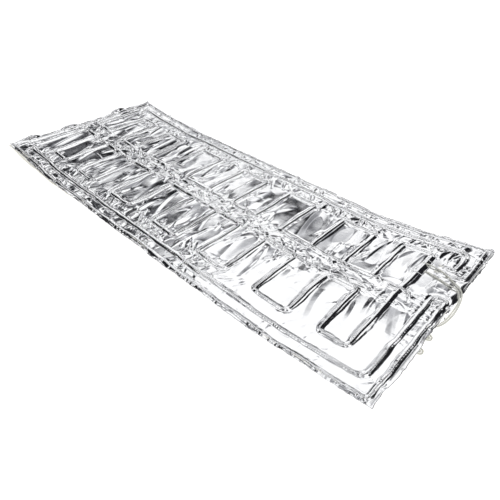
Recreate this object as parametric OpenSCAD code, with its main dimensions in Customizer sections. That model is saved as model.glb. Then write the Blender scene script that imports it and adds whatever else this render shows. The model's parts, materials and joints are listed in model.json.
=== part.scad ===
// Foil-faced sleeping pad with an embedded heating cable, in three panels that fold end over middle.
// Origin: centre of the underside. +X runs towards the end the leads leave from, +Z up.

/* [Pad] */
// Length of the pad, end to end, as it lies
pad_length = 1800; // [1700:10:1900]
// Width of the pad
pad_width = 728; // [700:4:760]
// Rounding of the pad's four corners
corner_radius = 14; // [6:1:20]
// Distance from the centre to the fold at the head end
head_fold_x = 510; // [500:1:515]
// Distance from the centre to the fold at the foot end
foot_fold_x = 490; // [484:1:496]
// Angle at which the head panel springs up off the floor
head_lift = 5.5; // [2:0.5:8]
// Angle at which the foot panel springs up off the floor
foot_lift = 7.5; // [6:0.5:9]
// Width of the flexible strip between two panels
fold_gap = 10; // [6:1:14]

/* [Layers] */
// Thickness of the closed-cell foam sheet
foam_thickness = 4; // [3:0.5:6]
// Thickness of each aluminium foil sheet
foil_thickness = 0.2; // [0.15:0.05:0.3]
// Clearance between neighbouring layers
layer_gap = 0.05; // [0.02:0.01:0.1]
// Width of the rim where the two foils are bonded together
rim_width = 9; // [7:1:11]

/* [Cable] */
// Outside diameter of the heating cable
cable_diameter = 3.6; // [3.2:0.1:4]
// Diameter of the conductor in the cable
core_diameter = 1.6; // [1.2:0.1:1.8]
// Radius of the cable's bends, measured on its axis
bend_radius = 17; // [16:1:18]
// Radius of the wide bends where the inner run turns its corners at the foot end
wide_bend_radius = 36; // [32:2:38]
// Distance from each end of the pad to the outer cable run
outer_inset = 22; // [20:1:24]
// Distance from each side of the pad to the outer cable run
side_inset = 14; // [12:1:16]
// Distance from the pad's edge to the inner cable run
inner_inset = 62; // [60:1:66]
// Distance from the centre line to the outer ends of the cross legs
leg_outer_y = 242; // [236:1:246]
// Distance from the centre line to the inner ends of the cross legs
leg_inner_y = 36; // [30:1:42]

/* [Leads] */
// Outside diameter of the leads, which are thicker than the heating cable
lead_diameter = 4.3; // [4.2:0.1:4.4]
// Where the two splices sit: distance along the pad
splice_x = 800; // [798:1:804]
// Where the two splices sit: distance across the pad of the supply splice
supply_splice_y = 165; // [160:1:168]
// The same for the return splice
return_splice_y = 200; // [196:1:204]
// Length of a splice sleeve
splice_length = 22; // [18:1:24]
// Outside diameter of a splice sleeve
splice_diameter = 3.6; // [3.4:0.1:3.6]
// Spacing of the two leads where they hang over the edge
lead_spacing = 5; // [4.8:0.1:6]
// Height of the lead's axis above the floor where it is tucked under the pad
tail_height = 2.2; // [2.2:0.1:3]

/* [Hidden] */
$fn = 48;

half_length = pad_length / 2;
half_width = pad_width / 2;
half_gap = fold_gap / 2;
leg_count = 16;

// Lengths of the two end panels, measured along their own slope
head_panel_end = head_fold_x + (half_length - head_fold_x) / cos(head_lift);
foot_panel_end = foot_fold_x + (half_length - foot_fold_x) / cos(foot_lift);

// Heights of the layers above the underside; the space between the foils has room for a lead
lower_foil_z = foam_thickness + layer_gap;
cable_z = lower_foil_z + foil_thickness + layer_gap + lead_diameter / 2;
upper_foil_z = cable_z + lead_diameter / 2 + layer_gap;
rim_z = lower_foil_z + foil_thickness + layer_gap;
surface_z = upper_foil_z + foil_thickness;

sheath_bore = core_diameter + 2 * layer_gap;

// The legs are laid by hand: wider in the middle, and drawn together just inside the foot fold
leg_reach = 840;
leg_swell = 64;
leg_draw = 36;
// Middle of the drawn-together stretch, and its spread, as shares of the reach
draw_place = 1 / 3;
draw_spread = 0.25;
function leg_place(i) = (2 * i - 1 - leg_count) / (leg_count - 1);
function leg_x(i) = let (s = leg_place(i), d = (s - draw_place) / draw_spread)
    round(leg_reach * s + leg_swell * sin(180 * s) - leg_draw * exp(-d * d));

outer_x = half_length - outer_inset;
outer_y = half_width - side_inset;
inner_x = leg_x(leg_count);
inner_y = half_width - inner_inset;

// The supply end of the heating cable turns between the outer and inner runs at this height
turn_y = 60;

foam_tint = [0.90, 0.87, 0.76];
foil_tint = [0.82, 0.83, 0.86];
cable_tint = [0.86, 0.85, 0.80];
copper_tint = [0.75, 0.46, 0.28];
heater_tint = [0.55, 0.54, 0.52];
lead_tint = [0.86, 0.85, 0.74];
tin_tint = [0.78, 0.78, 0.80];

// ---- wires ----

function unit(v) = v / norm(v);
// Matrix that carries the X, Y and Z axes to a, b and c, and the origin to p
function carry(a, b, c, p) = [
    [a.x, b.x, c.x, p.x],
    [a.y, b.y, c.y, p.y],
    [a.z, b.z, c.z, p.z],
    [0, 0, 0, 1]
];
// Any direction square to v
function square_to(v) = abs(v.z) < 0.9 ? unit(cross(v, [0, 0, 1])) : unit(cross(v, [1, 0, 0]));
function at_height(points, z) = [for (p = points) [p.x, p.y, z]];

// Cross-section of a wire: a ring, or a disc when the bore is 0
module wire_section(outer, bore) {
    difference() {
        circle(d = outer);
        if (bore > 0) {
            circle(d = bore);
        }
    }
}

// A wire along straight stretches with a round bend at each inner point.
// bends holds one radius for every inner point, or a single radius for them all.
module wire(points, outer, bore = 0, bends = bend_radius) {
    last = len(points) - 1;
    radii = [for (i = [1:1:last - 1]) is_list(bends) ? bends[i - 1] : bends];
    headings = [for (i = [0:last - 1]) unit(points[i + 1] - points[i])];
    turns = [for (i = [1:1:last - 1]) acos(headings[i - 1] * headings[i])];
    trims = [for (i = [0:last]) (i == 0 || i == last) ? 0 : radii[i - 1] * tan(turns[i - 1] / 2)];
    for (i = [0:last - 1]) {
        heading = headings[i];
        side = square_to(heading);
        start = points[i] + heading * trims[i];
        run = norm(points[i + 1] - points[i]) - trims[i] - trims[i + 1];
        multmatrix(carry(side, cross(heading, side), heading, start)) {
            linear_extrude(height = run) wire_section(outer, bore);
        }
    }
    for (i = [1:1:last - 1]) {
        heading = headings[i - 1];
        inward = unit(headings[i] - heading * (headings[i] * heading));
        centre = points[i] - heading * trims[i] + inward * radii[i - 1];
        multmatrix(carry(-inward, heading, cross(-inward, heading), centre)) {
            rotate_extrude(angle = turns[i - 1]) translate([radii[i - 1], 0]) wire_section(outer, bore);
        }
    }
}

// ---- panels ----

module raise_head() {
    translate([-head_fold_x, 0, 0]) rotate([0, head_lift, 0]) translate([head_fold_x, 0, 0]) children();
}

module raise_foot() {
    translate([foot_fold_x, 0, 0]) rotate([0, -foot_lift, 0]) translate([-foot_fold_x, 0, 0]) children();
}

// Outline of the panel from x0 to x1, drawn in by inset at the sides and at each outer end
module panel_outline(x0, x1, inset, round_low, round_high) {
    low = x0 + (round_low ? inset : 0);
    high = x1 - (round_high ? inset : 0);
    reach = half_width - inset;
    r = max(corner_radius - inset, 2);
    difference() {
        translate([low, -reach]) square([high - low, 2 * reach]);
        for (side = [-1, 1]) {
            if (round_low) {
                corner_cut(low, side * reach, 1, -side, r);
            }
            if (round_high) {
                corner_cut(high, side * reach, -1, -side, r);
            }
        }
    }
}

// What is cut away to round a corner at x, y whose inside lies towards dx, dy
module corner_cut(x, y, dx, dy, r) {
    difference() {
        translate([x + (dx > 0 ? -1 : -r), y + (dy > 0 ? -1 : -r)]) square(r + 1);
        translate([x + dx * r, y + dy * r]) circle(r = r);
    }
}

module sheet(x0, x1, z, thickness, inset, round_low, round_high) {
    translate([0, 0, z]) {
        linear_extrude(height = thickness) panel_outline(x0, x1, inset, round_low, round_high);
    }
}

module foam(x0, x1, round_low, round_high) {
    color(foam_tint) sheet(x0, x1, 0, foam_thickness, 0, round_low, round_high);
}

module lower_foil(x0, x1, round_low, round_high) {
    color(foil_tint) sheet(x0, x1, lower_foil_z, foil_thickness, 1, round_low, round_high);
}

// The upper foil is a shallow tray turned upside down: a flat top, a wall and a bonded rim
module upper_foil(x0, x1, round_low, round_high) {
    color(foil_tint) difference() {
        union() {
            sheet(x0, x1, rim_z, foil_thickness, 1, round_low, round_high);
            sheet(x0, x1, rim_z, surface_z - rim_z, rim_width, round_low, round_high);
        }
        translate([0, 0, -1]) {
            sheet(
                x0 - (round_low ? 0 : 1), x1 + (round_high ? 0 : 1), rim_z, upper_foil_z - rim_z + 1,
                rim_width + foil_thickness, round_low, round_high
            );
        }
        children();
    }
}

head_low = -head_panel_end;
head_high = -head_fold_x - half_gap;
middle_low = -head_fold_x + half_gap;
middle_high = foot_fold_x - half_gap;
foot_low = foot_fold_x + half_gap;
foot_high = foot_panel_end;

// Straight stretches of cable that cross a whole panel, as a list of distances across the pad
through_runs = [-outer_y, -inner_y, inner_y, outer_y];

// Back-and-forth cable through the legs first to last on one side of the centre line.
// It comes in along the outer ends and leaves along them.
function leg_turns(first, last, side) = [
    for (i = [first:last])
        for (k = [0:1])
            let (outward = (i % 2 == 1) == (k == 0))
                [leg_x(i), side * (outward ? leg_outer_y : leg_inner_y)]
];

middle_paths = concat(
    [for (y = through_runs) [[middle_low, y], [middle_high, y]]],
    [for (side = [-1, 1]) concat(
        [[middle_low, side * leg_outer_y]], leg_turns(5, 12, side), [[middle_high, side * leg_outer_y]]
    )]
);

// At the head end the outer run rounds the end; the inner runs go straight into the first legs
head_paths = concat(
    [[[head_high, -outer_y], [-outer_x, -outer_y], [-outer_x, outer_y], [head_high, outer_y]]],
    [for (side = [-1, 1]) concat(
        [[head_high, side * inner_y], [leg_x(1), side * inner_y], [leg_x(1), side * leg_inner_y]],
        [[leg_x(2), side * leg_inner_y], [leg_x(2), side * leg_outer_y]],
        leg_turns(3, 4, side),
        [[head_high, side * leg_outer_y]]
    )]
);

// At the foot end the two ends of the cable meet the splices
supply_cable_end = splice_x + splice_length / 2;
foot_paths = [
    concat(
        [[foot_low, -leg_outer_y]], leg_turns(13, 14, -1),
        [[leg_x(15), -leg_outer_y], [leg_x(15), leg_outer_y]],
        [[leg_x(14), leg_outer_y], [leg_x(14), leg_inner_y], [leg_x(13), leg_inner_y]],
        [[leg_x(13), leg_outer_y], [foot_low, leg_outer_y]]
    ),
    [[foot_low, outer_y], [outer_x, outer_y], [outer_x, supply_splice_y], [supply_cable_end, supply_splice_y]],
    [[foot_low, -outer_y], [outer_x, -outer_y], [outer_x, turn_y], [inner_x, turn_y],
        [inner_x, -inner_y], [foot_low, -inner_y]],
    [[foot_low, inner_y], [inner_x, inner_y], [inner_x, return_splice_y], [supply_cable_end, return_splice_y]]
];

// The inner run rounds its corners widely; every other bend is tight
function cable_bend(p) = p.x == inner_x && abs(p.y) == inner_y ? wide_bend_radius : bend_radius;

module cables(paths, outer, bore) {
    for (path = paths) {
        bends = [for (i = [1:1:len(path) - 2]) cable_bend(path[i])];
        wire(at_height(path, cable_z), outer, bore, bends);
    }
}

module sheaths(paths) {
    color(cable_tint) cables(paths, cable_diameter, sheath_bore);
}

module cores(paths) {
    color(heater_tint) cables(paths, core_diameter, 0);
}

module head_foam() {
    raise_head() foam(head_low, head_high, true, false);
}

module head_lower_foil() {
    raise_head() lower_foil(head_low, head_high, true, false);
}

module head_upper_foil() {
    raise_head() upper_foil(head_low, head_high, true, false);
}

module head_cable_sheath() {
    raise_head() sheaths(head_paths);
}

module head_cable_core() {
    raise_head() cores(head_paths);
}

module middle_foam() {
    foam(middle_low, middle_high, false, false);
}

module middle_lower_foil() {
    lower_foil(middle_low, middle_high, false, false);
}

module middle_upper_foil() {
    upper_foil(middle_low, middle_high, false, false);
}

module middle_cable_sheath() {
    sheaths(middle_paths);
}

module middle_cable_core() {
    cores(middle_paths);
}

module foot_foam() {
    raise_foot() foam(foot_low, foot_high, false, true);
}

module foot_lower_foil() {
    raise_foot() lower_foil(foot_low, foot_high, false, true);
}

module foot_upper_foil() {
    raise_foot() upper_foil(foot_low, foot_high, false, true) {
        translate([exit_x - exit_length / 2, exit_y - exit_width / 2, upper_foil_z - 1]) {
            cube([exit_length, exit_width, foil_thickness + 2]);
        }
    }
}

module foot_cable_sheath() {
    raise_foot() sheaths(foot_paths);
}

// The heating conductor runs on past the sheath into both crimps
module foot_cable_core() {
    raise_foot() {
        cores(foot_paths);
        for (y = [supply_splice_y, return_splice_y]) {
            color(heater_tint) translate([splice_x + layer_gap, y, cable_z]) rotate([0, 90, 0]) {
                cylinder(d = core_diameter, h = splice_length / 2 + 1 - layer_gap);
            }
        }
    }
}

// ---- splices and leads ----

exit_x = 768;
exit_y = (supply_splice_y + return_splice_y) / 2 - 8;
exit_length = 26;
exit_width = 70;
patch_border = 12;
crimp_length = 12;
crimp_wall = 0.5;

// The leads leave the splices towards the middle, turn up through the slit and double back to the edge
lead_start = splice_x - splice_length / 2;
lead_rise = 5.2;
lead_top_z = cable_z + lead_rise;
tight_bend = 2.4;
soft_bend = 8;
lead_clearance = 0.5;
lead_edge_x = ceil(foot_panel_end) + (lead_spacing + lead_diameter) / 2 + lead_clearance;
drop_y = 70;
drop_depth = 50;

// Where the hanging leads end, and so where the tails swing: a little above the floor beyond the raised edge
drop_end = [lead_edge_x, drop_y, lead_top_z - drop_depth];
function raised_x(p) = foot_fold_x + (p.x - foot_fold_x) * cos(foot_lift) - p.z * sin(foot_lift);
hinge_x = round(raised_x(drop_end));
hinge_z = 12;

// Path of one lead in the foot panel's own flat frame: side is -1 for the supply and 1 for the return
function lead_path(splice_y, side) = let (out_x = lead_edge_x + side * lead_spacing / 2) [
    [lead_start, splice_y, cable_z],
    [exit_x, splice_y, cable_z],
    [exit_x, splice_y, lead_top_z],
    [out_x, splice_y, lead_top_z],
    [out_x, drop_y, lead_top_z],
    [out_x, drop_y, drop_end.z]
];
lead_bends = [tight_bend, tight_bend, soft_bend, soft_bend];

// The tails turn in under the raised end, and run along it and back side by side
tuck_y = 12;
tuck_x = half_length - 17.5;
tail_far_y = -152;
tail_near_y = -40;
tail_width = 21;
function tail_path(side) = let (
    shift = side * lead_spacing / 2,
    out_x = hinge_x + shift,
    in_x = tuck_x + shift,
    back_x = tuck_x - tail_width - shift
) [
    [out_x, drop_y, hinge_z],
    [out_x, drop_y, tail_height],
    [out_x, tuck_y - shift, tail_height],
    [in_x, tuck_y - shift, tail_height],
    [in_x, tail_far_y - shift, tail_height],
    [back_x, tail_far_y - shift, tail_height],
    [back_x, tail_near_y, tail_height]
];
tail_bend = 5;

ferrule_length = 10;
ferrule_diameter = 2.6;

module splice_sleeve(y) {
    raise_foot() translate([splice_x - splice_length / 2 + layer_gap, y, cable_z]) rotate([0, 90, 0]) {
        linear_extrude(height = splice_length - 2 * layer_gap) {
            wire_section(splice_diameter, core_diameter + 2 * (crimp_wall + 2 * layer_gap));
        }
    }
}

module crimp(y) {
    raise_foot() translate([splice_x - crimp_length / 2, y, cable_z]) rotate([0, 90, 0]) {
        linear_extrude(height = crimp_length) {
            wire_section(core_diameter + 2 * (crimp_wall + layer_gap), sheath_bore);
        }
    }
}

module supply_splice_sleeve() {
    color(cable_tint) splice_sleeve(supply_splice_y);
}

module return_splice_sleeve() {
    color(cable_tint) splice_sleeve(return_splice_y);
}

module supply_crimp() {
    color(tin_tint) crimp(supply_splice_y);
}

module return_crimp() {
    color(tin_tint) crimp(return_splice_y);
}

// Foil tape frame round the slit where the leads come up
module exit_patch() {
    color(foil_tint) raise_foot() translate([exit_x, exit_y, surface_z + layer_gap]) {
        linear_extrude(height = foil_thickness) difference() {
            square([exit_length + 2 * patch_border, exit_width + 2 * patch_border], center = true);
            square([exit_length, exit_width], center = true);
        }
    }
}

module lead_sheath(splice_y, side) {
    color(lead_tint) raise_foot() wire(lead_path(splice_y, side), lead_diameter, sheath_bore, lead_bends);
}

// The lead's conductor starts inside the crimp
module lead_core(splice_y, side) {
    color(copper_tint) raise_foot() {
        wire(lead_path(splice_y, side), core_diameter, 0, lead_bends);
        translate([lead_start - 1, splice_y, cable_z]) rotate([0, 90, 0]) {
            cylinder(d = core_diameter, h = splice_length / 2 + 1 - layer_gap);
        }
    }
}

module supply_lead_sheath() {
    lead_sheath(supply_splice_y, -1);
}

module supply_lead_core() {
    lead_core(supply_splice_y, -1);
}

module return_lead_sheath() {
    lead_sheath(return_splice_y, 1);
}

module return_lead_core() {
    lead_core(return_splice_y, 1);
}

module supply_tail_sheath() {
    color(lead_tint) wire(tail_path(-1), lead_diameter, sheath_bore, tail_bend);
}

module supply_tail_core() {
    color(copper_tint) wire(tail_path(-1), core_diameter, 0, tail_bend);
}

module return_tail_sheath() {
    color(lead_tint) wire(tail_path(1), lead_diameter, sheath_bore, tail_bend);
}

module return_tail_core() {
    color(copper_tint) wire(tail_path(1), core_diameter, 0, tail_bend);
}

// Crimped end sleeve on a bare conductor, just beyond the sheath
module ferrule(side) {
    path = tail_path(side);
    tip = path[len(path) - 1];
    color(tin_tint) translate([tip.x, tip.y + layer_gap, tip.z]) rotate([-90, 0, 0]) {
        cylinder(d = ferrule_diameter, h = ferrule_length);
    }
}

module supply_ferrule() {
    ferrule(-1);
}

module return_ferrule() {
    ferrule(1);
}

head_foam();
head_lower_foil();
head_upper_foil();
head_cable_sheath();
head_cable_core();
middle_foam();
middle_lower_foil();
middle_upper_foil();
middle_cable_sheath();
middle_cable_core();
foot_foam();
foot_lower_foil();
foot_upper_foil();
foot_cable_sheath();
foot_cable_core();
supply_splice_sleeve();
return_splice_sleeve();
supply_crimp();
return_crimp();
exit_patch();
supply_lead_sheath();
supply_lead_core();
return_lead_sheath();
return_lead_core();
supply_tail_sheath();
supply_tail_core();
return_tail_sheath();
return_tail_core();
supply_ferrule();
return_ferrule();
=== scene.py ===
"""Foil-faced heated sleeping pad: crinkled foil over a looped heating cable on a thin foam sheet.

The CAD frame gives the panels, folds and sizes. This script builds the soft sheets, the cable and the leads
as they look when the pad has been unfolded on a floor.
"""
import json
import math

import bpy
import numpy as np
from mathutils import Matrix, Vector


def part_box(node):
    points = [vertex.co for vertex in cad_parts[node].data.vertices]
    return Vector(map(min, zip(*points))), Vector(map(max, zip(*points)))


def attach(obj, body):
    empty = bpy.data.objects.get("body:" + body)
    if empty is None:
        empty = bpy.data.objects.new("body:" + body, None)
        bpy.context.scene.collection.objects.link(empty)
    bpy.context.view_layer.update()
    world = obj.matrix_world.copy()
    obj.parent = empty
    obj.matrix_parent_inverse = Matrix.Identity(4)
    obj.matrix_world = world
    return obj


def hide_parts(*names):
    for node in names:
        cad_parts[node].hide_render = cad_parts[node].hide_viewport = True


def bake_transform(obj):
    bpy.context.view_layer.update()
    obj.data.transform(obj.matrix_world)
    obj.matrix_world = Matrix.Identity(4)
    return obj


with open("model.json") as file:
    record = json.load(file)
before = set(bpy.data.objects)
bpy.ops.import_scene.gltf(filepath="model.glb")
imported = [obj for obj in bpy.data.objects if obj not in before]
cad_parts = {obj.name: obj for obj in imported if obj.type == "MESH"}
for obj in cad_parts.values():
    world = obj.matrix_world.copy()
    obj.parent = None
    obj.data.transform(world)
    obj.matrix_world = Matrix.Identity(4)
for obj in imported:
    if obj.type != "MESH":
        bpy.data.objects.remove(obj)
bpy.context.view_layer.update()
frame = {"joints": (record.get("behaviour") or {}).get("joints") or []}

# ---------------------------------------------------------------- driving dimensions, in metres

foam_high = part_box("middle_foam")[1]
cable_low, cable_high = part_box("middle_cable_sheath")
HALF_WIDTH = foam_high[1]
FOAM_T = foam_high[2]
HALF_LENGTH = -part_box("head_foam")[0][0]
CABLE_R = (cable_high[2] - cable_low[2]) / 2
CABLE_Y = cable_high[1] - CABLE_R
JOINTS = {j["name"]: j for j in frame["joints"]}
HEAD_FOLD_X = JOINTS["head_fold"]["pos_m"][0]
FOOT_FOLD_X = JOINTS["foot_fold"]["pos_m"][0]

# Cable layout
LEG_COUNT = 16
LEG_REACH = 0.840
LEG_SWELL = 0.064
LEG_DRAW = 0.036
DRAW_PLACE = 1 / 3
DRAW_SPREAD = 0.25
OUTER_X = HALF_LENGTH - 0.022
INNER_X = LEG_REACH
INNER_Y = HALF_WIDTH - 0.062
LEG_OUTER_Y = 0.242
LEG_INNER_Y = 0.036
TURN_Y = 0.060
SUPPLY_Y = 0.165
RETURN_Y = 0.200
SPLICE_X = 0.800
HALF_SPLICE = 0.011
BEND_R = 0.017
INNER_BEND_R = 0.036
CABLE_Z = FOAM_T + 0.00028 + CABLE_R
LEAD_R = 0.00215

# Foil
FOIL_GAP = 0.0004
RIM = 0.010
GRID = 0.0022
SHEET_GRID = 0.008
FOIL_T = 0.00012


# ---------------------------------------------------------------- noise and small helpers

def smoothstep(t):
    t = np.clip(t, 0.0, 1.0)
    return t * t * (3 - 2 * t)


def noise(x, y, cell, seed):
    """Smooth noise from -1 to 1 whose features are about one cell across."""
    rng = np.random.RandomState(seed)
    size = 256
    table = rng.uniform(-1, 1, (size, size))
    u = np.asarray(x, float) / cell + 1000.0
    v = np.asarray(y, float) / cell + 1000.0
    iu = np.floor(u).astype(int)
    iv = np.floor(v).astype(int)
    fu = u - iu
    fv = v - iv
    fu = fu * fu * fu * (fu * (fu * 6 - 15) + 10)
    fv = fv * fv * fv * (fv * (fv * 6 - 15) + 10)
    a = table[iu % size, iv % size]
    b = table[(iu + 1) % size, iv % size]
    c = table[iu % size, (iv + 1) % size]
    d = table[(iu + 1) % size, (iv + 1) % size]
    return (a * (1 - fu) + b * fu) * (1 - fv) + (c * (1 - fu) + d * fu) * fv


def warp(x, y):
    """How far the hand-laid cable wanders from its nominal line."""
    dx = 0.0032 * noise(x, y, 0.11, 11) + 0.0012 * noise(x, y, 0.035, 12)
    dy = 0.0032 * noise(x, y, 0.12, 13) + 0.0012 * noise(x, y, 0.035, 14)
    return dx, dy


# ---------------------------------------------------------------- rest shape of the pad

HEAD_RISE_NEAR = 0.041
HEAD_RISE_FAR = 0.033
FOOT_RISE_NEAR = 0.040
FOOT_RISE_FAR = 0.058


def rise(x, y):
    """Height of the pad's underside above the floor."""
    x = np.asarray(x, float)
    y = np.asarray(y, float)
    across = (y / HALF_WIDTH + 1) / 2
    head = np.clip((-x + HEAD_FOLD_X) / (HALF_LENGTH + HEAD_FOLD_X), 0, 1.1) ** 1.35
    foot = np.clip((x - FOOT_FOLD_X) / (HALF_LENGTH - FOOT_FOLD_X), 0, 1.1) ** 1.35
    z = head * (HEAD_RISE_NEAR + (HEAD_RISE_FAR - HEAD_RISE_NEAR) * across)
    z = z + foot * (FOOT_RISE_NEAR + (FOOT_RISE_FAR - FOOT_RISE_NEAR) * across)
    return z


# ---------------------------------------------------------------- cable path

def leg_x(i):
    s = (2 * i - 1 - LEG_COUNT) / (LEG_COUNT - 1)
    d = (s - DRAW_PLACE) / DRAW_SPREAD
    return LEG_REACH * s + LEG_SWELL * math.sin(math.pi * s) - LEG_DRAW * math.exp(-d * d)


def cable_corners():
    """Corner points of the whole heating cable, from the supply splice round to the return splice."""
    pts = [(SPLICE_X + HALF_SPLICE, SUPPLY_Y), (OUTER_X, SUPPLY_Y), (OUTER_X, CABLE_Y), (-OUTER_X, CABLE_Y)]
    pts += [(-OUTER_X, -CABLE_Y), (OUTER_X, -CABLE_Y), (OUTER_X, TURN_Y), (INNER_X, TURN_Y)]
    pts += [(INNER_X, -INNER_Y), (leg_x(1), -INNER_Y), (leg_x(1), -LEG_INNER_Y)]
    near = []
    for i in range(2, LEG_COUNT):
        ends = [-LEG_INNER_Y, -LEG_OUTER_Y] if i % 2 == 0 else [-LEG_OUTER_Y, -LEG_INNER_Y]
        near += [(leg_x(i), y) for y in ends]
    pts += near[:-1]
    far = [(x, -y) for x, y in reversed(near)]
    pts += far[1:]
    pts += [(leg_x(1), LEG_INNER_Y), (leg_x(1), INNER_Y), (INNER_X, INNER_Y), (INNER_X, RETURN_Y)]
    pts += [(SPLICE_X + HALF_SPLICE, RETURN_Y)]
    return pts


def corner_radius(p):
    """The inner run rounds its corners widely; every other bend is tight."""
    wide = abs(abs(p[1]) - INNER_Y) < 1e-6 and abs(p[0]) > leg_x(LEG_COUNT) - 0.002
    return INNER_BEND_R if wide else BEND_R


def rounded(points, step):
    """Points along a polyline with its corners rounded, about one step apart."""
    pts = [np.array(p, float) for p in points]
    out = [pts[0]]
    for i in range(1, len(pts) - 1):
        a = pts[i - 1] - pts[i]
        b = pts[i + 1] - pts[i]
        la = np.linalg.norm(a)
        lb = np.linalg.norm(b)
        a /= la
        b /= lb
        r = min(corner_radius(pts[i]), la * 0.48, lb * 0.48)
        start = pts[i] + a * r
        end = pts[i] + b * r
        for k in range(7):
            t = k / 6
            out.append((1 - t) ** 2 * start + 2 * t * (1 - t) * pts[i] + t * t * end)
    out.append(pts[-1])
    line = [out[0]]
    for p in out[1:]:
        gap = np.linalg.norm(p - line[-1])
        count = max(1, int(round(gap / step)))
        origin = line[-1]
        for k in range(1, count + 1):
            line.append(origin + (p - origin) * k / count)
    return np.array(line)


CABLE_LINE = rounded(cable_corners(), 0.003)
wander_x, wander_y = warp(CABLE_LINE[:, 0], CABLE_LINE[:, 1])
CABLE_LINE = CABLE_LINE + np.stack([wander_x, wander_y], axis=1)


# ---------------------------------------------------------------- foil surface

NX = int(2 * HALF_LENGTH / GRID) // 2 * 2 + 1
NY = int(2 * HALF_WIDTH / GRID) // 2 * 2 + 1
GX = np.linspace(-HALF_LENGTH + 0.001, HALF_LENGTH - 0.001, NX)
GY = np.linspace(-HALF_WIDTH + 0.001, HALF_WIDTH - 0.001, NY)
MX, MY = np.meshgrid(GX, GY, indexing="ij")


def window(x, y, reach):
    """Rows and columns of the grid within reach of a point, as i0, i1, j0, j1."""
    sx = GX[1] - GX[0]
    sy = GY[1] - GY[0]
    i0 = max(0, int((x - reach - GX[0]) / sx))
    i1 = min(NX, int((x + reach - GX[0]) / sx) + 2)
    j0 = max(0, int((y - reach - GY[0]) / sy))
    j1 = min(NY, int((y + reach - GY[0]) / sy) + 2)
    return i0, i1, j0, j1


def line_distance(line, reach):
    """Distance of every grid point from a line, up to reach."""
    dist = np.full((NX, NY), reach)
    for px, py in line:
        i0, i1, j0, j1 = window(px, py, reach)
        if i0 >= i1 or j0 >= j1:
            continue
        d = np.hypot(GX[i0:i1, None] - px, GY[None, j0:j1] - py)
        np.minimum(dist[i0:i1, j0:j1], d, out=dist[i0:i1, j0:j1])
    return dist


def crease(h, cx, cy, angle, length, width, height):
    """Adds one straight tent-shaped fold of the foil."""
    i0, i1, j0, j1 = window(cx, cy, length + width)
    if i0 >= i1 or j0 >= j1:
        return
    x = GX[i0:i1, None] - cx
    y = GY[None, j0:j1] - cy
    along = (x * math.cos(angle) + y * math.sin(angle)) / length
    off = (-x * math.sin(angle) + y * math.cos(angle)) + 0.12 * length * along * along
    side = np.where(off > 0, width, width * 0.55)
    tent = np.clip(1 - np.abs(off) / side, 0, 1)
    fade = np.clip(1 - along * along, 0, 1)
    h[i0:i1, j0:j1] += height * tent * fade


def creases(h, rng, count, box, angle, spread, length, width, height):
    """Scatters creases over a box (x0, x1, y0, y1); each size is a (least, most) pair."""
    for _ in range(count):
        crease(
            h, rng.uniform(box[0], box[1]), rng.uniform(box[2], box[3]),
            angle + rng.uniform(-spread, spread), rng.uniform(*length), rng.uniform(*width),
            rng.uniform(*height) * rng.choice([1, 1, -0.6]),
        )


def looseness(x, y):
    """How loose the foil lies: less at the head's far side, and at the foot's near side and end."""
    far_head = smoothstep((y - 0.24) / 0.04) * smoothstep((-x - 0.25) / 0.2)
    near_foot = smoothstep((-y - 0.05) / 0.14) * smoothstep((x - 0.15) / 0.3)
    foot_end = smoothstep((0.08 - y) / 0.10) * smoothstep((x - 0.62) / 0.16)
    return 1 - 0.7 * far_head - 0.78 * np.maximum(near_foot, 0.75 * foot_end)


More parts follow.
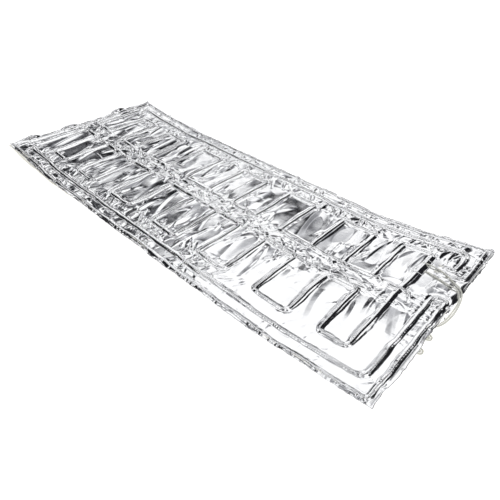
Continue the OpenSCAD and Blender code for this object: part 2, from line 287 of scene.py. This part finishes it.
def foil_height():
    """Height of the upper foil above the foam, before the ends rise."""
    reach = 0.024
    dist = line_distance(CABLE_LINE, reach)
    # the foil tents over the cable and meets the lower foil some way off
    ay = np.abs(MY)
    ax = np.abs(MX)
    at_legs = smoothstep((LEG_OUTER_Y + 0.012 - ay) / 0.02) * smoothstep((INNER_X - 0.006 - ax) / 0.02)
    mid_leg = np.exp(-(((ay - 0.14) / 0.075) ** 2)) * at_legs
    foot = 0.0105 + 0.0050 * mid_leg + 0.0032 * noise(MX, MY, 0.05, 21) + 0.0010 * noise(MX, MY, 0.014, 22)
    top = 2 * CABLE_R + FOIL_GAP + 0.0008
    ridge = top * np.clip((foot - dist) / (foot - 0.5 * CABLE_R), 0, 1) ** (1.45 - 0.4 * at_legs)
    crown = top - 0.30 * np.clip(dist, 0, 0.004) ** 2 / CABLE_R
    ridge = np.minimum(ridge, crown)
    # it crumples over the cable too where a leg crosses the centre lane
    in_lane = smoothstep((LEG_INNER_Y + 0.012 - ay) / 0.012) * smoothstep((INNER_X - 0.01 - ax) / 0.02)
    free = np.maximum(smoothstep((dist - 0.005) / 0.012), 0.85 * in_lane)

    # how crumpled each part of the sheet is: smooth in the cells, rough in the lane and along the borders
    in_cells = smoothstep((ay - LEG_INNER_Y - 0.004) / 0.014) * smoothstep((LEG_OUTER_Y + 0.004 - ay) / 0.014)
    in_cells = in_cells * smoothstep((INNER_X + 0.004 - ax) / 0.02)
    rough = 1 - 0.9 * in_cells

    # loose foil between the cables
    bag = 0.0012 * noise(MX * 1.25, MY * 0.55, 0.075, 31)
    bag += 0.0013 * (1 - np.abs(noise(MX * 1.3 + 0.3 * MY, MY * 0.5, 0.075, 33)) * 2)
    folds = np.zeros((NX, NY))
    rng = np.random.RandomState(7)
    full = (-HALF_LENGTH, HALF_LENGTH)
    lane = (full[0], full[1], -LEG_INNER_Y, LEG_INNER_Y)
    creases(folds, rng, 200, lane, 0.0, 1.1, (0.018, 0.055), (0.007, 0.017), (0.0012, 0.0034))
    for side in (-1, 1):
        rows = sorted((side * (LEG_INNER_Y + 0.01), side * (LEG_OUTER_Y - 0.01)))
        cells = (full[0], full[1], rows[0], rows[1])
        creases(folds, rng, 56, cells, 1.57, 0.4, (0.045, 0.110), (0.012, 0.030), (0.0009, 0.0028))
        creases(folds, rng, 40, cells, 0.0, 1.57, (0.016, 0.050), (0.006, 0.014), (0.0003, 0.0010))
        gap = sorted((side * LEG_OUTER_Y, side * INNER_Y))
        creases(folds, rng, 150, (full[0], full[1], gap[0], gap[1]), 1.57, 0.9,
                (0.018, 0.056), (0.007, 0.017), (0.0009, 0.0028))
        border = sorted((side * INNER_Y, side * CABLE_Y))
        creases(folds, rng, 76, (full[0], full[1], border[0], border[1]), 1.57, 0.8,
                (0.014, 0.040), (0.006, 0.015), (0.0006, 0.0022))
        # the taut foil folds into a line along each side of the centre lane
        for _ in range(30):
            crease(folds, rng.uniform(*full), side * LEG_INNER_Y + rng.uniform(-0.004, 0.004),
                   rng.uniform(-0.06, 0.06), rng.uniform(0.03, 0.07), 0.008, rng.uniform(0.0012, 0.0030))
    for end in (-1, 1):
        strip = sorted((end * INNER_X, end * OUTER_X))
        creases(folds, rng, 36, (strip[0], strip[1], -INNER_Y, INNER_Y), 0.0, 0.7,
                (0.010, 0.028), (0.006, 0.012), (0.0006, 0.0018))
    # small crumple
    crumple = 0.00030 * (1 - 2 * np.abs(noise(MX, MY, 0.026, 41)))
    loose = np.clip(bag + folds + crumple * rough + 0.0012, 0, 0.009)
    edge = np.minimum(HALF_WIDTH - np.abs(MY), HALF_LENGTH - np.abs(MX))
    rim = smoothstep((edge - 0.003) / RIM)
    return FOIL_GAP + ridge + free * loose * looseness(MX, MY) * (0.25 + 0.75 * rim)


def curl_corner(p, corner, inward, reach, radius, turn):
    """Rolls the corner of a sheet up over itself. p is (..., 3); inward points into the sheet."""
    n = -np.array(inward, float) / math.hypot(*inward)
    s = (p[..., 0] - corner[0]) * n[0] + (p[..., 1] - corner[1]) * n[1] + reach
    over = s > 0
    a = np.clip(s / radius, 0, turn)
    left = np.clip(s - turn * radius, 0, None)
    flat = radius * np.sin(a) + left * math.cos(turn)
    up = radius * (1 - np.cos(a)) + left * math.sin(turn)
    out = p.copy()
    out[..., 0] = np.where(over, p[..., 0] + n[0] * (flat - s), p[..., 0])
    out[..., 1] = np.where(over, p[..., 1] + n[1] * (flat - s), p[..., 1])
    out[..., 2] = np.where(over, p[..., 2] + up, p[..., 2])
    return out


FOIL_H = foil_height()


def foam_shows(x, y):
    """1 where the foam sheet was cut wide of the foil, which is along one side at the head end."""
    return smoothstep((-x - 0.30) / 0.35) * smoothstep(-y / 0.3)


def foil_points(h):
    """Positions of the foil's grid points."""
    edge_x = HALF_LENGTH - np.abs(MX)
    edge_y = HALF_WIDTH - np.abs(MY)
    ragged = 0.0010 + 0.0018 * smoothstep(MY / 0.1)
    fray_y = ragged * noise(MX, MY * 0.2, 0.008, 51) + 0.0030 * noise(MX, MY * 0.2, 0.10, 52)
    fray_x = 0.0014 * noise(MX * 0.2, MY, 0.012, 53) + 0.0040 * noise(MX * 0.2, MY, 0.08, 54)
    x = MX + np.sign(MX) * (fray_x - 0.001) * (1 - smoothstep(edge_x / 0.045))
    y = MY + np.sign(MY) * (fray_y - 0.001) * (1 - smoothstep(edge_y / 0.045))
    edge = np.minimum(edge_x, edge_y)
    lift = 0.0030 * np.clip(noise(MX, MY, 0.04, 55), 0, 1) * (1 - smoothstep(edge / 0.014))
    droop = 0.0012 * (1 - smoothstep(edge / 0.006)) * (1 - foam_shows(MX, MY))
    droop = droop * smoothstep((HALF_LENGTH - 0.01 - MX) / 0.01)
    # loops of hem stand up along part of the head end
    loops = np.clip(noise(MX * 0.1, MY, 0.09, 56) + 0.25 * np.exp(-(((MY + 0.19) / 0.09) ** 2)), 0, 1)
    lift += 0.020 * loops * smoothstep((-MX - HALF_LENGTH + 0.024) / 0.018)
    # a flap of hem hangs down beside the leads
    flap = np.exp(-(((MY - 0.012) / 0.032) ** 2)) * smoothstep((MX - HALF_LENGTH + 0.007) / 0.006)
    x = x + 0.003 * flap
    droop = droop + 0.016 * flap
    z = rise(MX, MY) + FOAM_T + h + lift - droop
    p = np.stack([x, y, z], axis=-1)
    p = curl_corner(p, (HALF_LENGTH, HALF_WIDTH), (-1, -1.6), 0.020, 0.0040, 2.3)
    p = curl_corner(p, (-HALF_LENGTH, HALF_WIDTH), (1, -1), 0.014, 0.0035, 2.2)
    p = curl_corner(p, (-HALF_LENGTH, -HALF_WIDTH), (1.4, 1), 0.010, 0.004, 1.8)
    return p


# ---------------------------------------------------------------- mesh builders

def finish_mesh(name, verts, faces, uvs, material):
    mesh = bpy.data.meshes.new(name)
    verts = np.asarray(verts, np.float32).reshape(-1, 3)
    faces = np.asarray(faces, np.int32)
    mesh.vertices.add(len(verts))
    mesh.vertices.foreach_set("co", verts.ravel())
    corners = faces.shape[1]
    mesh.loops.add(faces.size)
    mesh.loops.foreach_set("vertex_index", faces.ravel())
    mesh.polygons.add(len(faces))
    mesh.polygons.foreach_set("loop_start", np.arange(0, faces.size, corners, dtype=np.int32))
    mesh.update(calc_edges=True)
    layer = mesh.uv_layers.new(name="UVMap")
    layer.data.foreach_set("uv", np.asarray(uvs, np.float32)[faces.ravel()].ravel())
    mesh.polygons.foreach_set("use_smooth", np.ones(len(faces), bool))
    mesh.validate()
    mesh.materials.append(material)
    obj = bpy.data.objects.new(name, mesh)
    bpy.context.scene.collection.objects.link(obj)
    return obj


def grid_faces(nx, ny, flip=False):
    i = np.arange(nx - 1)[:, None]
    j = np.arange(ny - 1)[None, :]
    a = i * ny + j
    quads = np.stack([a, a + ny, a + ny + 1, a + 1], axis=-1).reshape(-1, 4)
    return quads[:, ::-1] if flip else quads


def border(nx, ny):
    """Indices round the edge of a grid, counter-clockwise seen from above."""
    low = [i * ny for i in range(nx)]
    right = [(nx - 1) * ny + j for j in range(1, ny)]
    high = [i * ny + ny - 1 for i in range(nx - 2, -1, -1)]
    left = [j for j in range(ny - 2, 0, -1)]
    return low + right + high + left


def closed_sheet(name, top, bottom, uv, material):
    """A closed sheet between two grids of points."""
    nx, ny = top.shape[:2]
    count = nx * ny
    verts = np.concatenate([top.reshape(-1, 3), bottom.reshape(-1, 3)])
    ring = np.array(border(nx, ny))
    nxt = np.roll(ring, -1)
    walls = np.stack([ring + count, nxt + count, nxt, ring], axis=1)
    faces = np.concatenate([grid_faces(nx, ny), grid_faces(nx, ny, True) + count, walls])
    uvs = np.concatenate([uv.reshape(-1, 2), uv.reshape(-1, 2)])
    return finish_mesh(name, verts, faces, uvs, material)


def tubes(name, lines, radius, sides, material):
    """Round tubes along lists of points, as one mesh."""
    verts = []
    quads = []
    tris = []
    for line in lines:
        p = np.asarray(line, float)
        tangent = np.gradient(p, axis=0)
        tangent /= np.linalg.norm(tangent, axis=1)[:, None] + 1e-12
        helper = np.array([0.0, 0.0, 1.0]) if abs(tangent[0][2]) < 0.9 else np.array([1.0, 0.0, 0.0])
        side = np.cross(tangent[0], helper)
        base = len(verts)
        for k in range(len(p)):
            side = side - tangent[k] * (side @ tangent[k])
            side /= np.linalg.norm(side)
            up = np.cross(tangent[k], side)
            for m in range(sides):
                a = 2 * math.pi * m / sides
                verts.append(p[k] + radius * (math.cos(a) * side + math.sin(a) * up))
        for k in range(len(p) - 1):
            for m in range(sides):
                n = (m + 1) % sides
                a = base + k * sides
                quads.append([a + m, a + n, a + sides + n, a + sides + m])
        for k in (0, len(p) - 1):
            centre = len(verts)
            verts.append(p[k])
            a = base + k * sides
            for m in range(sides):
                n = (m + 1) % sides
                tris.append([a + n, a + m, centre] if k == 0 else [a + m, a + n, centre])
    mesh = bpy.data.meshes.new(name)
    mesh.from_pydata([tuple(v) for v in verts], [], quads + tris)
    mesh.polygons.foreach_set("use_smooth", np.ones(len(mesh.polygons), bool))
    mesh.materials.append(material)
    obj = bpy.data.objects.new(name, mesh)
    bpy.context.scene.collection.objects.link(obj)
    return obj


# ---------------------------------------------------------------- materials

def new_material(name):
    """A new material, its nodes and links, and its main shader."""
    mat = bpy.data.materials.new(name)
    mat.use_nodes = True
    nodes = mat.node_tree.nodes
    shader = nodes["Principled BSDF"]
    return mat, nodes, mat.node_tree.links, shader


def place(nodes, kind, **inputs):
    """Adds a node and sets its inputs by name."""
    node = nodes.new(kind)
    for key, value in inputs.items():
        node.inputs[key.replace("_", " ")].default_value = value
    return node


def voronoi(nodes, links, source, scale):
    """Cell pattern at a scale, on the given coordinates; returns its distance output."""
    cells = nodes.new("ShaderNodeTexVoronoi")
    cells.inputs["Scale"].default_value = scale
    links.new(source, cells.inputs["Vector"])
    return cells.outputs["Distance"]


def foil_material(name, tint, least_rough, most_rough, strength):
    """Bright aluminium foil: fine crumple and handling marks on top of the modelled folds."""
    mat, nodes, links, shader = new_material(name)
    uv = nodes.new("ShaderNodeUVMap")
    uv.uv_map = "UVMap"
    shader.inputs["Metallic"].default_value = 1.0
    shader.inputs["Base Color"].default_value = (*tint, 1)

    marks = place(nodes, "ShaderNodeTexNoise", Scale=22.0, Detail=5.0, Roughness=0.6)
    links.new(uv.outputs[0], marks.inputs["Vector"])
    span = nodes.new("ShaderNodeMapRange")
    span.inputs["From Min"].default_value = 0.35
    span.inputs["From Max"].default_value = 0.68
    span.inputs["To Min"].default_value = least_rough
    span.inputs["To Max"].default_value = most_rough
    links.new(marks.outputs["Fac"], span.inputs["Value"])
    links.new(span.outputs["Result"], shader.inputs["Roughness"])

    stir = place(nodes, "ShaderNodeTexNoise", Scale=45.0, Detail=2.0)
    links.new(uv.outputs[0], stir.inputs["Vector"])
    mix = nodes.new("ShaderNodeMix")
    mix.data_type = "VECTOR"
    mix.inputs["Factor"].default_value = 0.018
    links.new(uv.outputs[0], mix.inputs[4])
    links.new(stir.outputs["Color"], mix.inputs[5])
    facets = voronoi(nodes, links, mix.outputs[1], 95.0)
    small = voronoi(nodes, links, mix.outputs[1], 240.0)
    heights = nodes.new("ShaderNodeMath")
    heights.operation = "MULTIPLY_ADD"
    heights.inputs[1].default_value = 0.35
    links.new(small, heights.inputs[0])
    links.new(facets, heights.inputs[2])
    bump = nodes.new("ShaderNodeBump")
    bump.inputs["Strength"].default_value = strength
    bump.inputs["Distance"].default_value = 0.0012
    links.new(heights.outputs[0], bump.inputs["Height"])
    links.new(bump.outputs["Normal"], shader.inputs["Normal"])
    return mat


def plastic_material(name, low, high, scale, rough, bump_scale, bump_depth, sheer=0.0):
    """A mottled plastic or foam whose colour runs between two tints."""
    mat, nodes, links, shader = new_material(name)
    coord = nodes.new("ShaderNodeTexCoord")
    mottle = place(nodes, "ShaderNodeTexNoise", Scale=scale, Detail=4.0)
    links.new(coord.outputs["Object"], mottle.inputs["Vector"])
    ramp = nodes.new("ShaderNodeValToRGB")
    ramp.color_ramp.elements[0].position = 0.35
    ramp.color_ramp.elements[1].position = 0.65
    ramp.color_ramp.elements[0].color = (*low, 1)
    ramp.color_ramp.elements[1].color = (*high, 1)
    links.new(mottle.outputs["Fac"], ramp.inputs["Fac"])
    links.new(ramp.outputs["Color"], shader.inputs["Base Color"])
    shader.inputs["Roughness"].default_value = rough
    shader.inputs["Transmission Weight"].default_value = sheer
    cells = voronoi(nodes, links, coord.outputs["Object"], bump_scale)
    bump = nodes.new("ShaderNodeBump")
    bump.inputs["Strength"].default_value = 0.6
    bump.inputs["Distance"].default_value = bump_depth
    links.new(cells, bump.inputs["Height"])
    links.new(bump.outputs["Normal"], shader.inputs["Normal"])
    return mat


def metal_material(name, tint, rough):
    """Drawn wire or crimped metal with fine marks."""
    mat, nodes, links, shader = new_material(name)
    coord = nodes.new("ShaderNodeTexCoord")
    marks = place(nodes, "ShaderNodeTexNoise", Scale=900.0, Detail=3.0)
    links.new(coord.outputs["Object"], marks.inputs["Vector"])
    shader.inputs["Metallic"].default_value = 1.0
    shader.inputs["Base Color"].default_value = (*tint, 1)
    span = nodes.new("ShaderNodeMapRange")
    span.inputs["To Min"].default_value = rough * 0.7
    span.inputs["To Max"].default_value = rough * 1.4
    links.new(marks.outputs["Fac"], span.inputs["Value"])
    links.new(span.outputs["Result"], shader.inputs["Roughness"])
    return mat


FOIL = foil_material("foil", (0.94, 0.943, 0.955), least_rough=0.06, most_rough=0.16, strength=0.02)
UNDER_FOIL = foil_material("under_foil", (0.86, 0.87, 0.89), least_rough=0.22, most_rough=0.38, strength=0.2)
FOAM = plastic_material("foam", (0.79, 0.775, 0.71), (0.88, 0.865, 0.81),
                        scale=95.0, rough=0.9, bump_scale=300.0, bump_depth=0.0012)
SHEATH = plastic_material("cable_sheath", (0.78, 0.77, 0.72), (0.86, 0.85, 0.80),
                          scale=60.0, rough=0.5, bump_scale=900.0, bump_depth=0.0001)
LEAD = plastic_material("lead_sheath", (0.70, 0.70, 0.645), (0.80, 0.80, 0.745),
                        scale=40.0, rough=0.22, bump_scale=500.0, bump_depth=0.0001, sheer=0.35)
TIN = metal_material("tin", (0.80, 0.80, 0.82), 0.25)


# ---------------------------------------------------------------- the sheets


def join_panels(obj, end):
    """Bakes a piece's transform into its mesh, the same way for either end; the piece is not tied to a panel
    and does not bend round a fold.
    """
    if end == "head":
        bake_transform(obj)
    else:
        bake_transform(obj)


def panel_nodes(end, *parts):
    """CAD nodes of one end's panel; the head's pieces also stand for the middle panel's."""
    panels = ("head", "middle") if end == "head" else ("foot",)
    return [f"{panel}_{part}" for part in parts for panel in panels]


FOIL_P = foil_points(FOIL_H)
UV = np.stack([MX, MY], axis=-1)
MIDDLE = NX // 2


ENDS = (("head", -HALF_LENGTH, 0.0), ("foot", 0.0, HALF_LENGTH))


def upper_foils():
    for end, rows in (("head", slice(0, MIDDLE + 1)), ("foot", slice(MIDDLE, NX))):
        p = FOIL_P[rows]
        nx = p.shape[0]
        obj = finish_mesh(f"upper_foil_{end}", p, grid_faces(nx, NY), UV[rows].reshape(-1, 2), FOIL)
        shell = obj.modifiers.new("thickness", "SOLIDIFY")
        shell.thickness = FOIL_T
        shell.offset = -1
        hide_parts(*panel_nodes(end, "upper_foil"))
        join_panels(obj, end)


def sheet_grid(x0, x1, overhang, step):
    """Grid of nominal places across the pad, and the same with its edges moved out by an overhang."""
    nx = int(round((x1 - x0) / step)) + 1
    ny = int(round(2 * HALF_WIDTH / step)) + 1
    x, y = np.meshgrid(np.linspace(x0, x1, nx), np.linspace(-HALF_WIDTH, HALF_WIDTH, ny), indexing="ij")
    edge_x = HALF_LENGTH - np.abs(x)
    edge_y = HALF_WIDTH - np.abs(y)
    px = x + np.sign(x) * overhang(x, y) * (1 - smoothstep(edge_x / 0.02))
    py = y + np.sign(y) * overhang(x, y) * (1 - smoothstep(edge_y / 0.02))
    return x, y, px, py


def foam_overhang(x, y):
    """How far the foam stands out past its nominal edge: behind the foil's hem, but proud at the head end."""
    wide = foam_shows(x, y)
    proud = 0.0045 + 0.0030 * noise(x, y, 0.04, 62)
    return -0.0075 * (1 - wide) + wide * proud + 0.0008 * noise(x, y, 0.05, 61)


def foil_overhang(x, y):
    """The lower foil stays behind the upper foil's hem all round."""
    return -0.0085 + 0.0006 * noise(x, y, 0.02, 63)


def foams():
    for end, x0, x1 in ENDS:
        x, y, px, py = sheet_grid(x0, x1, foam_overhang, SHEET_GRID)
        under = rise(x, y)
        top = np.stack([px, py, under + FOAM_T], axis=-1)
        bottom = np.stack([px, py, under + 0.0003 * (1 + noise(x, y, 0.03, 64))], axis=-1)
        obj = closed_sheet(f"foam_{end}", top, bottom, np.stack([x, y], axis=-1), FOAM)
        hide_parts(*panel_nodes(end, "foam"))
        join_panels(obj, end)


def lower_foils():
    for end, x0, x1 in ENDS:
        x, y, px, py = sheet_grid(x0, x1, foil_overhang, SHEET_GRID)
        base = rise(x, y) + FOAM_T + 0.0001
        top = np.stack([px, py, base + 0.00015], axis=-1)
        bottom = np.stack([px, py, base], axis=-1)
        obj = closed_sheet(f"lower_foil_{end}", top, bottom, np.stack([x, y], axis=-1), UNDER_FOIL)
        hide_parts(*panel_nodes(end, "lower_foil"))
        join_panels(obj, end)


def split_at_middle(line):
    """Splits a line where it crosses x = 0, into the head-side and foot-side stretches."""
    parts = {"head": [], "foot": []}
    current = [line[0]]
    for a, b in zip(line[:-1], line[1:]):
        if (a[0] < 0) != (b[0] < 0):
            t = a[0] / (a[0] - b[0])
            cross = a + (b - a) * t
            current.append(cross)
            parts["head" if a[0] < 0 else "foot"].append(current)
            current = [cross]
        current.append(b)
    parts["head" if line[-1][0] < 0 else "foot"].append(current)
    return parts


def heating_cable():
    z = rise(CABLE_LINE[:, 0], CABLE_LINE[:, 1]) + CABLE_Z
    line = np.column_stack([CABLE_LINE, z])
    parts = split_at_middle(line)
    for end in ("head", "foot"):
        obj = tubes(f"heating_cable_{end}", [np.array(q) for q in parts[end]], CABLE_R * 0.97, 8, SHEATH)
        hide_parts(*panel_nodes(end, "cable_sheath", "cable_core"))
        join_panels(obj, end)


def spline(points, step):
    """A smooth curve through a few points (Catmull-Rom), sampled about one step apart."""
    p = [np.array(q, float) for q in points]
    p = [2 * p[0] - p[1]] + p + [2 * p[-1] - p[-2]]
    out = []
    for i in range(1, len(p) - 2):
        count = max(2, int(np.linalg.norm(p[i + 1] - p[i]) / step))
        for k in range(count):
            t = k / count
            out.append(0.5 * (
                2 * p[i] + (p[i + 1] - p[i - 1]) * t
                + (2 * p[i - 1] - 5 * p[i] + 4 * p[i + 1] - p[i + 2]) * t * t
                + (3 * p[i] - p[i - 1] - 3 * p[i + 1] + p[i + 2]) * t ** 3
            ))
    out.append(p[-2])
    return np.array(out)


def foil_top(x, y):
    """Height of the foil's surface at a place on the pad."""
    i = int(np.clip(np.searchsorted(GX, x), 0, NX - 1))
    j = int(np.clip(np.searchsorted(GY, y), 0, NY - 1))
    patch = FOIL_P[max(0, i - 1):i + 2, max(0, j - 1):j + 2, 2]
    return float(patch.max())


def on_top(x, y, extra=0.0):
    """A place on a lead's axis where the lead lies on the foil, or a little above it."""
    return (x, y, foil_top(x, y) + LEAD_R + extra)


def on_floor(in_from_end, y, lift=0.0):
    """A place on a lead's axis where the lead lies on the floor near the foot end, or a little above it."""
    return (HALF_LENGTH - in_from_end, y, LEAD_R + 0.0004 + lift)


def leads():
    """The two leads: out of the foil, over the raised edge, down and in beneath the pad."""
    out = HALF_LENGTH
    supply = [
        # out of the foil and over its surface
        (0.744, 0.186, foil_top(0.744, 0.186) - 0.003), on_top(0.762, 0.184), on_top(0.810, 0.172),
        on_top(0.857, 0.143, 0.001), (0.884, 0.122, foil_top(0.884, 0.122) + 0.004),
        # over the raised edge and down
        (out + 0.001, 0.094, 0.060), (out + 0.007, 0.064, 0.046), (out + 0.006, 0.034, 0.030),
        (out - 0.003, 0.008, 0.015), on_floor(0.020, -0.014, 0.004), on_floor(0.030, -0.030),
        # two loops that show past the edge
        on_floor(0.008, -0.038), on_floor(0.003, -0.047), on_floor(0.008, -0.056),
        on_floor(0.036, -0.062), on_floor(0.040, -0.078), on_floor(0.030, -0.091),
        on_floor(0.005, -0.096), on_floor(0.000, -0.105), on_floor(0.005, -0.114),
        on_floor(0.035, -0.118), on_floor(0.055, -0.119),
    ]
    # the return lead takes the same route, just inside the supply lead
    back = [
        (0.766, 0.150, foil_top(0.766, 0.150) - 0.003), on_top(0.782, 0.148), on_top(0.815, 0.136),
        on_top(0.850, 0.122, 0.001), (0.880, 0.112, foil_top(0.880, 0.112) + 0.003),
        (out - 0.001, 0.084, 0.057), (out + 0.002, 0.056, 0.043), (out - 0.001, 0.026, 0.027),
        (out - 0.012, 0.002, 0.014), on_floor(0.034, -0.020, 0.003), on_floor(0.044, -0.038),
        on_floor(0.014, -0.0435), on_floor(0.010, -0.047), on_floor(0.014, -0.0505),
        on_floor(0.042, -0.054), on_floor(0.054, -0.078), on_floor(0.044, -0.098),
        on_floor(0.012, -0.1015), on_floor(0.007, -0.105), on_floor(0.012, -0.1085),
        on_floor(0.042, -0.110), on_floor(0.062, -0.110),
    ]
    for name, points in (("supply", supply), ("return", back)):
        line = spline(points, 0.003)
        obj = tubes(f"{name}_lead", [line], LEAD_R, 12, LEAD)
        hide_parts(f"{name}_lead_sheath", f"{name}_lead_core")
        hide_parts(f"{name}_tail_sheath", f"{name}_tail_core")
        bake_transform(obj)
        tip = line[-1]
        along = (line[-1] - line[-2]) / np.linalg.norm(line[-1] - line[-2])
        stub = [tip, tip + along * 0.004, tip + along * 0.010]
        ferrule = tubes(f"{name}_ferrule_tip", [stub], 0.0013, 16, TIN)
        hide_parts(f"{name}_ferrule")
        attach(ferrule, "lead_tail")


def splices():
    """The covered splices between the heating cable and the leads, under the foil."""
    for name, y in (("supply", SUPPLY_Y), ("return", RETURN_Y)):
        dx, dy = warp(np.array([SPLICE_X]), np.array([y]))
        x0 = SPLICE_X - HALF_SPLICE
        z = float(rise(SPLICE_X, y)) + CABLE_Z
        line = [(x0 + dx[0] + 0.0015 * k, y + dy[0], z) for k in range(15)]
        obj = tubes(f"{name}_splice", [line], CABLE_R * 0.98, 16, SHEATH)
        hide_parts(f"{name}_splice_sleeve", f"{name}_crimp")
        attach(obj, "foot_panel")


def exit_tape():
    """A strip of foil tape pressed over the slit that the leads come out of."""
    i = (GX > 0.738) & (GX < 0.774)
    j = (GY > 0.128) & (GY < 0.206)
    top = FOIL_P[i][:, j].copy()
    top[..., 2] += 0.0005
    bottom = top.copy()
    bottom[..., 2] -= 0.0002
    obj = closed_sheet("exit_tape", top, bottom, UV[i][:, j], FOIL)
    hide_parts("exit_patch")
    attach(obj, "foot_panel")


upper_foils()
foams()
lower_foils()
heating_cable()
leads()
splices()
exit_tape()


# ---------------------------------------------------------------- floor, light and camera

FLOOR_HALF = 12.0
FLOOR_Z = -0.0006


def make_floor():
    mesh = bpy.data.meshes.new("floor")
    corners = [(a * FLOOR_HALF, b * FLOOR_HALF, FLOOR_Z) for a, b in ((-1, -1), (1, -1), (1, 1), (-1, 1))]
    mesh.from_pydata(corners, [], [(0, 1, 2, 3)])
    floor = bpy.data.objects.new("floor", mesh)
    bpy.context.scene.collection.objects.link(floor)
    mat, nodes, links, shader = new_material("floor")
    shader.inputs["Base Color"].default_value = (0.93, 0.93, 0.93, 1)
    shader.inputs["Emission Color"].default_value = (1, 1, 1, 1)
    shader.inputs["Emission Strength"].default_value = 0.42
    shader.inputs["Roughness"].default_value = 0.9
    shader.inputs["Specular IOR Level"].default_value = 0.0
    mesh.materials.append(mat)


def direction(azimuth, elevation):
    """Unit vector towards an azimuth (from +X towards +Y) and elevation, in degrees."""
    a = math.radians(azimuth)
    e = math.radians(elevation)
    return (math.cos(a) * math.cos(e), math.sin(a) * math.cos(e), math.sin(e))


# Patches of the studio that the foil mirrors: azimuth, elevation, half-width in degrees, and how much
# lighter (+) or darker (-) the patch is than the mottled grey around it
PATCHES = [
    (157, 37, 7, -0.21),
    (152, 35, 3, 0.05),
    (147, 36, 3, -0.05),
    (147, 31, 4, 0.06),
    (143, 32, 3, 0.05),
    (139, 25, 3, 0.05),
    (139, 30, 3, -0.07),
    (135, 31, 5, -0.075),
    (180, 50, 6, -0.24),
    (118, 33, 4, -0.03),
    (132, 46, 9, 0.11),
    (80, 46, 17, -0.42),
    (100, 64, 10, 0.14),
    (201, 37, 12, -0.40),
    (208, 61, 10, 0.12),
    (140, 4, 12, 0.06),
]

# How bright each level of the mottled studio is
TONES = [
    (0.37, (0.012, 0.012, 0.014)),
    (0.43, (0.17, 0.172, 0.185)),
    (0.49, (0.50, 0.505, 0.53)),
    (0.55, (1.12, 1.12, 1.12)),
]


def studio():
    """A bright studio as crumpled foil sees it: white panels, greys and dark gaps."""
    world = bpy.data.worlds.new("studio")
    bpy.context.scene.world = world
    world.use_nodes = True
    nodes = world.node_tree.nodes
    links = world.node_tree.links
    nodes.clear()
    coord = nodes.new("ShaderNodeTexCoord")
    mottle = place(nodes, "ShaderNodeTexNoise", Scale=5.0, Detail=1.0)
    links.new(coord.outputs["Generated"], mottle.inputs["Vector"])
    level = mottle.outputs["Fac"]
    for azimuth, elevation, size, lift in PATCHES:
        dot = nodes.new("ShaderNodeVectorMath")
        dot.operation = "DOT_PRODUCT"
        dot.inputs[1].default_value = direction(azimuth, elevation)
        links.new(coord.outputs["Generated"], dot.inputs[0])
        patch = nodes.new("ShaderNodeMapRange")
        patch.interpolation_type = "SMOOTHSTEP"
        patch.inputs["From Min"].default_value = math.cos(math.radians(size * 1.3))
        patch.inputs["From Max"].default_value = math.cos(math.radians(size * 0.7))
        patch.inputs["To Min"].default_value = 0.0
        patch.inputs["To Max"].default_value = lift
        links.new(dot.outputs["Value"], patch.inputs["Value"])
        both = nodes.new("ShaderNodeMath")
        both.operation = "ADD"
        links.new(level, both.inputs[0])
        links.new(patch.outputs["Result"], both.inputs[1])
        level = both.outputs[0]
    tones = nodes.new("ShaderNodeValToRGB")
    ramp = tones.color_ramp
    ramp.elements[0].position = TONES[0][0]
    ramp.elements[1].position = TONES[-1][0]
    for position, _ in TONES[1:-1]:
        ramp.elements.new(position)
    for stop, (_, colour) in zip(ramp.elements, TONES):
        stop.color = (*colour, 1)
    links.new(level, tones.inputs["Fac"])
    mirrored = nodes.new("ShaderNodeBackground")
    links.new(tones.outputs["Color"], mirrored.inputs["Color"])
    path = nodes.new("ShaderNodeLightPath")
    seen = mirrored
    for ray, strength in (("Is Diffuse Ray", 0.95), ("Is Camera Ray", 1.3)):
        plain = nodes.new("ShaderNodeBackground")
        plain.inputs["Strength"].default_value = strength
        plain.inputs["Color"].default_value = (1, 1, 1, 1)
        mix = nodes.new("ShaderNodeMixShader")
        links.new(path.outputs[ray], mix.inputs["Fac"])
        links.new(seen.outputs[0], mix.inputs[1])
        links.new(plain.outputs[0], mix.inputs[2])
        seen = mix
    out = nodes.new("ShaderNodeOutputWorld")
    links.new(seen.outputs[0], out.inputs["Surface"])


CAMERA_PLACE = (1.0474, -0.9279, 0.9341)
CAMERA_TURN = (132.807, -40.066, 0.865)
CAMERA_LENS = 31.61


def camera():
    """The camera stands at the foot end, about at waist height, and looks down along the pad."""
    yaw, pitch, roll = (math.radians(a) for a in CAMERA_TURN)
    ahead = Vector((math.cos(pitch) * math.cos(yaw), math.cos(pitch) * math.sin(yaw), math.sin(pitch)))
    right = ahead.cross(Vector((0, 0, 1))).normalized()
    up = right.cross(ahead)
    tilted_right = right * math.cos(roll) + up * math.sin(roll)
    tilted_up = up * math.cos(roll) - right * math.sin(roll)
    data = bpy.data.cameras.new("camera")
    data.sensor_width = 36
    data.lens = CAMERA_LENS
    cam = bpy.data.objects.new("camera", data)
    turn = Matrix((tilted_right, tilted_up, -ahead)).transposed().to_4x4()
    cam.matrix_world = Matrix.Translation(CAMERA_PLACE) @ turn
    bpy.context.scene.collection.objects.link(cam)
    bpy.context.scene.camera = cam


make_floor()
studio()
camera()
bpy.context.scene.view_settings.view_transform = "Standard"
